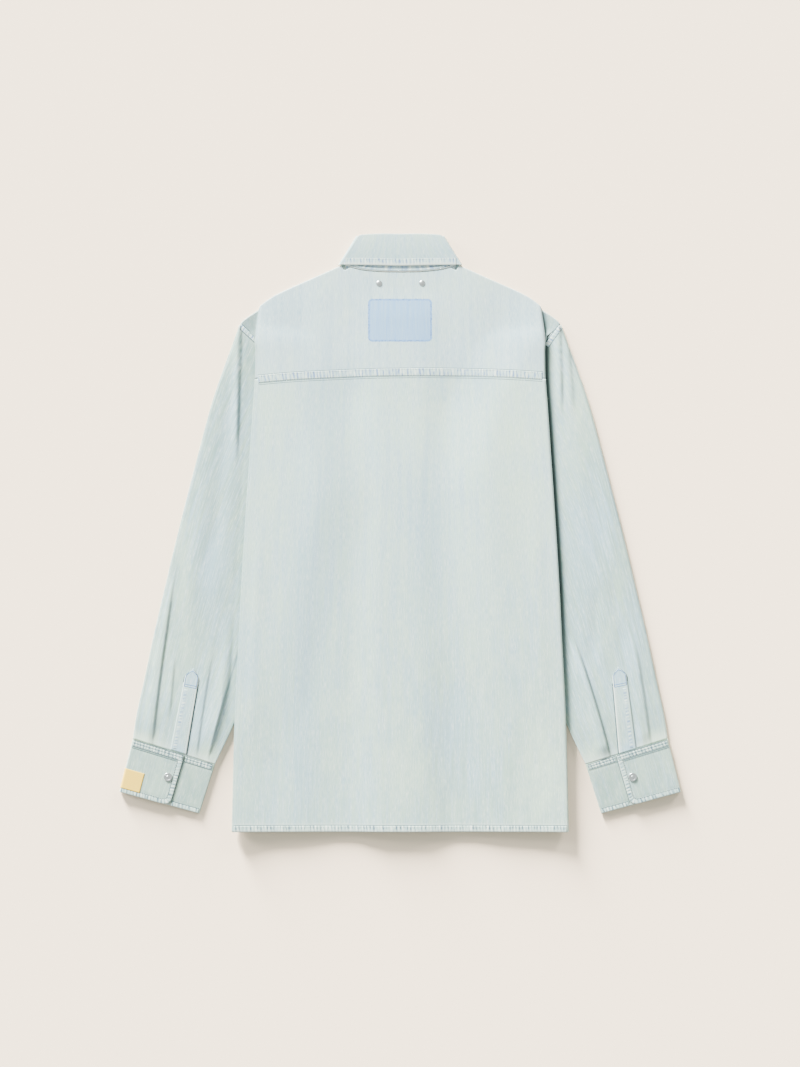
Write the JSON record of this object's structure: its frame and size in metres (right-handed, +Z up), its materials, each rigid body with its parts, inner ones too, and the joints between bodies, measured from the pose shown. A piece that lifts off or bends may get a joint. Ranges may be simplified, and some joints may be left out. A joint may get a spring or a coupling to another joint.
{
  "type": "denim shirt",
  "caption": "Long-sleeved pale denim shirt with a back yoke, folded collar, snapped cuffs and front, laid flat on its front with its sides turned under.",
  "frame": {"origin": "middle of the shirt's outline on the plane that it lies on", "axes": "+Z up from that plane, +Y from the hem to the collar, +X to the wearer's right, seen on the back"},
  "size_m": [0.7516, 0.8, 0.01],
  "materials": {
    "denim": "matt pale bleached denim",
    "seam_denim": "matt denim, a little bluer",
    "snap_metal": "worn satin",
    "label_cream": "matt woven tape"
  },
  "bodies": {
    "root": {"back": "denim", "back_yoke": "denim", "front_left": "denim", "front_right": "denim", "front_placket": "seam_denim", "collar_stand": "seam_denim", "collar_leaf": "denim", "sleeve_left": "denim", "sleeve_right": "denim", "sleeve_placket_left": "seam_denim", "sleeve_placket_right": "seam_denim", "cuff_left": "seam_denim", "cuff_right": "seam_denim", "cuff_snap_left": "snap_metal", "cuff_snap_right": "snap_metal", "front_snap_1": "snap_metal", "front_snap_2": "snap_metal", "front_snap_3": "snap_metal", "front_snap_4": "snap_metal", "front_snap_5": "snap_metal", "front_snap_6": "snap_metal", "front_snap_7": "snap_metal", "back_stud_left": "snap_metal", "back_stud_right": "snap_metal", "cuff_label": "label_cream"}
  },
  "joints": []
}
